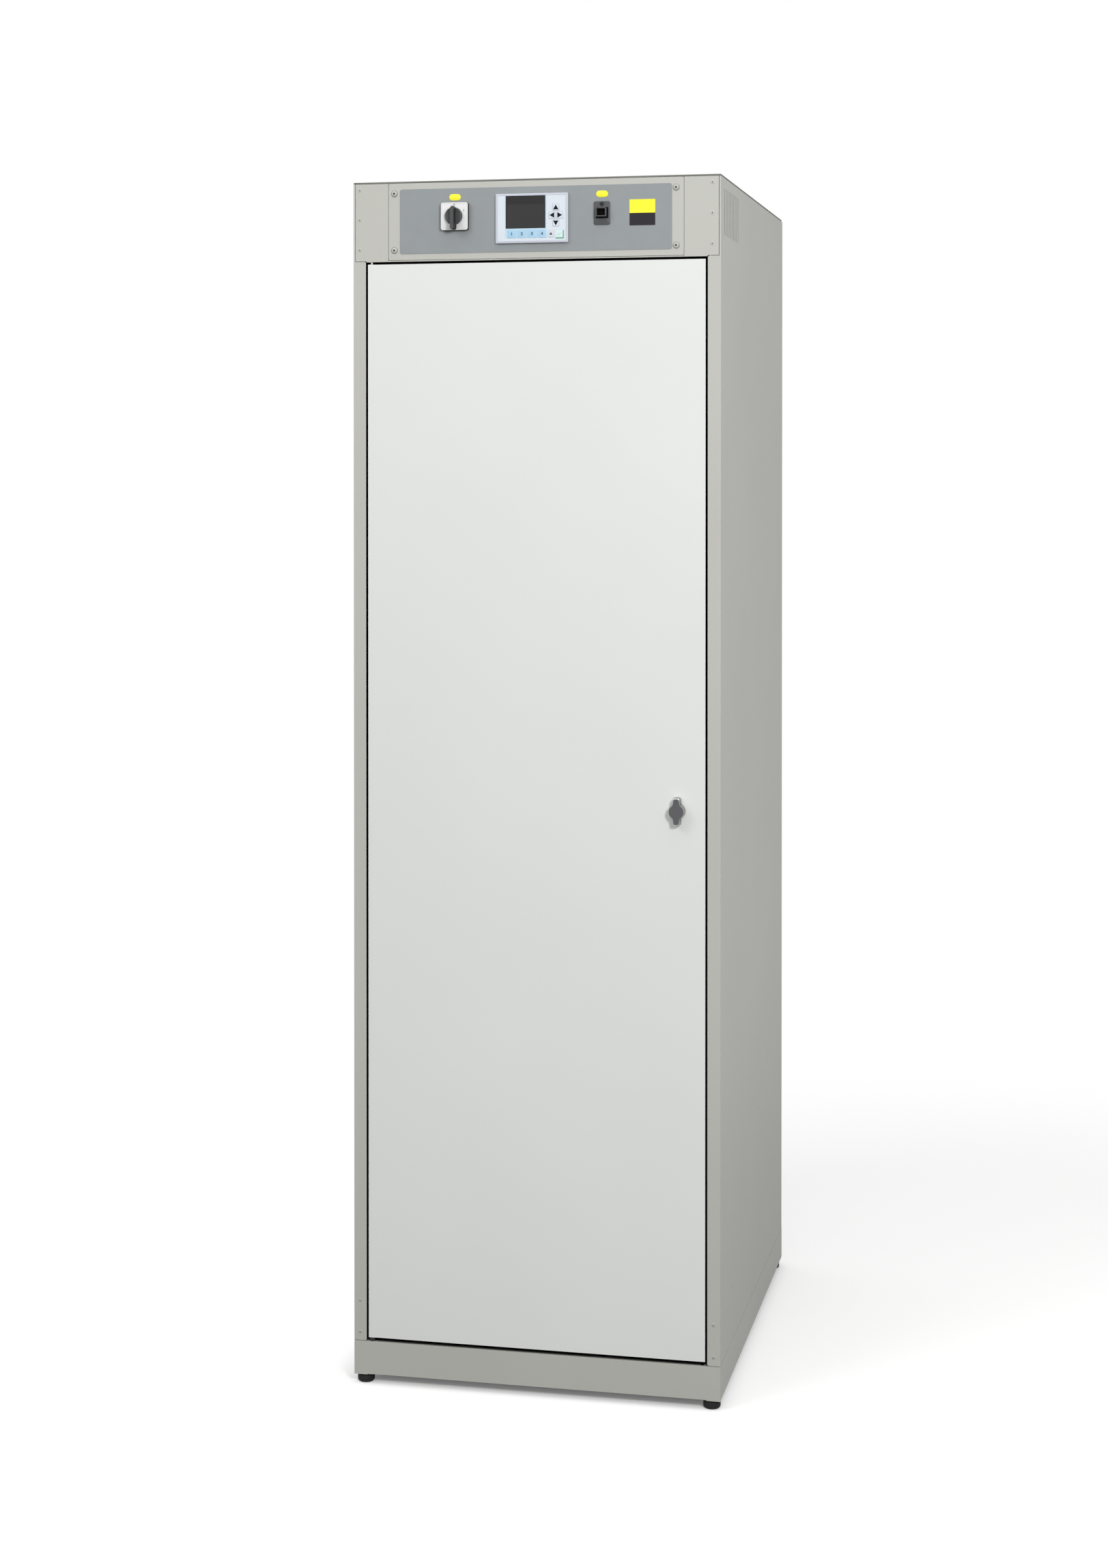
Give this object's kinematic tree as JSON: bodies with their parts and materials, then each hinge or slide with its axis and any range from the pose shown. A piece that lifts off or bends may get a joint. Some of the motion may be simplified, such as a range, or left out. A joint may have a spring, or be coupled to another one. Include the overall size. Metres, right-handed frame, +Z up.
{
  "type": "drying cabinet",
  "caption": "Tall free-standing drying cabinet with a full-height insulated door, a header panel with rotary switch, text display and socket, and a fan-heated chamber with rail and racks.",
  "frame": {"origin": "on the floor, under the middle of the base", "axes": "+Z up, -Y out of the front with the door, +X to the right as seen from the front"},
  "size_m": [0.65, 0.8778, 2.154],
  "materials": {
    "casing_paint": "satin",
    "door_paint": "satin",
    "stainless": "satin",
    "zinc_steel": "satin",
    "die_cast": "satin",
    "rubber": "matte",
    "black_plastic": "matte",
    "grey_plastic": "matte",
    "white_plastic": "satin",
    "bezel_plastic": "matte",
    "key_plastic": "matte",
    "soft_key_plastic": "matte",
    "screen": "gloss",
    "film": "matte",
    "mineral_wool": "matte"
  },
  "bodies": {
    "cabinet": {"base_frame": "casing_paint", "left_side_panel": "casing_paint", "right_side_panel": "casing_paint", "back_panel": "casing_paint", "roof_panel": "casing_paint", "header_frame": "casing_paint", "control_plate": "casing_paint", "control_film": "film", "inner_liner": "stainless", "chamber_floor": "stainless", "hanging_rail": "stainless", "left_rack_support": "stainless", "right_rack_support": "stainless", "lower_boot_rack": "stainless", "upper_boot_rack": "stainless", "heater_element": "stainless", "insulation_jacket": "mineral_wool", "stop_frame": "zinc_steel", "compartment_floor": "zinc_steel", "fan_motor": "zinc_steel", "heater_duct": "zinc_steel", "exhaust_spigot": "zinc_steel", "mounting_rail": "zinc_steel", "top_hinge_pin": "zinc_steel", "bottom_hinge_pin": "zinc_steel", "front_left_foot": "rubber", "front_right_foot": "rubber", "rear_left_foot": "rubber", "rear_right_foot": "rubber", "fan_housing": "black_plastic", "cable_gland": "black_plastic", "switch_body": "black_plastic", "controller_module": "grey_plastic", "terminal_block": "grey_plastic", "display_rear_case": "grey_plastic", "network_socket": "grey_plastic", "switch_plate": "white_plastic", "display_bezel": "bezel_plastic", "display_lens": "screen"},
    "door": {"door_skin": "door_paint", "door_core": "mineral_wool", "door_inner_panel": "stainless", "door_seal": "rubber", "top_hinge_bush": "black_plastic", "bottom_hinge_bush": "black_plastic", "latch_housing": "die_cast"},
    "latch": {"latch_knob": "die_cast", "latch_cam": "zinc_steel"},
    "switch": {"switch_knob": "black_plastic"},
    "fan": {"fan_impeller": "grey_plastic"},
    "soft_key_1": {"soft_key_1": "soft_key_plastic"},
    "soft_key_2": {"soft_key_2": "soft_key_plastic"},
    "soft_key_3": {"soft_key_3": "soft_key_plastic"},
    "soft_key_4": {"soft_key_4": "soft_key_plastic"},
    "up_key": {"up_key": "key_plastic"},
    "down_key": {"down_key": "key_plastic"},
    "left_key": {"left_key": "key_plastic"},
    "right_key": {"right_key": "key_plastic"},
    "cancel_key": {"cancel_key": "key_plastic"},
    "enter_key": {"enter_key": "key_plastic"}
  },
  "joints": [
    {"name": "door_hinge", "type": "hinge", "parent": "cabinet", "child": "door", "pos_m": [-0.293, -0.4095, 1.0237], "axis": [0, 0, -1], "range_deg": [0, 110]},
    {"name": "latch_turn", "type": "hinge", "parent": "door", "child": "latch", "pos_m": [0.251, -0.415, 1.0237], "axis": [0, -1, 0], "range_deg": [0, 90]},
    {"name": "switch_turn", "type": "hinge", "parent": "cabinet", "child": "switch", "pos_m": [-0.1405, -0.416, 2.0457], "axis": [0, 1, 0], "range_deg": [0, 60]},
    {"name": "fan_spin", "type": "hinge", "parent": "cabinet", "child": "fan", "pos_m": [-0.13, 0.15, 2], "axis": [0, 0, 1], "continuous": true},
    {"name": "soft_key_1_press", "type": "slide", "parent": "cabinet", "child": "soft_key_1", "axis": [0, 1, 0], "range_m": [0, 0.0004], "stiffness_N_per_m": 800},
    {"name": "soft_key_2_press", "type": "slide", "parent": "cabinet", "child": "soft_key_2", "axis": [0, 1, 0], "range_m": [0, 0.0004], "stiffness_N_per_m": 800},
    {"name": "soft_key_3_press", "type": "slide", "parent": "cabinet", "child": "soft_key_3", "axis": [0, 1, 0], "range_m": [0, 0.0004], "stiffness_N_per_m": 800},
    {"name": "soft_key_4_press", "type": "slide", "parent": "cabinet", "child": "soft_key_4", "axis": [0, 1, 0], "range_m": [0, 0.0004], "stiffness_N_per_m": 800},
    {"name": "up_key_press", "type": "slide", "parent": "cabinet", "child": "up_key", "axis": [0, 1, 0], "range_m": [0, 0.0004], "stiffness_N_per_m": 800},
    {"name": "down_key_press", "type": "slide", "parent": "cabinet", "child": "down_key", "axis": [0, 1, 0], "range_m": [0, 0.0004], "stiffness_N_per_m": 800},
    {"name": "left_key_press", "type": "slide", "parent": "cabinet", "child": "left_key", "axis": [0, 1, 0], "range_m": [0, 0.0004], "stiffness_N_per_m": 800},
    {"name": "right_key_press", "type": "slide", "parent": "cabinet", "child": "right_key", "axis": [0, 1, 0], "range_m": [0, 0.0004], "stiffness_N_per_m": 800},
    {"name": "cancel_key_press", "type": "slide", "parent": "cabinet", "child": "cancel_key", "axis": [0, 1, 0], "range_m": [0, 0.0004], "stiffness_N_per_m": 800},
    {"name": "enter_key_press", "type": "slide", "parent": "cabinet", "child": "enter_key", "axis": [0, 1, 0], "range_m": [0, 0.0004], "stiffness_N_per_m": 800}
  ]
}
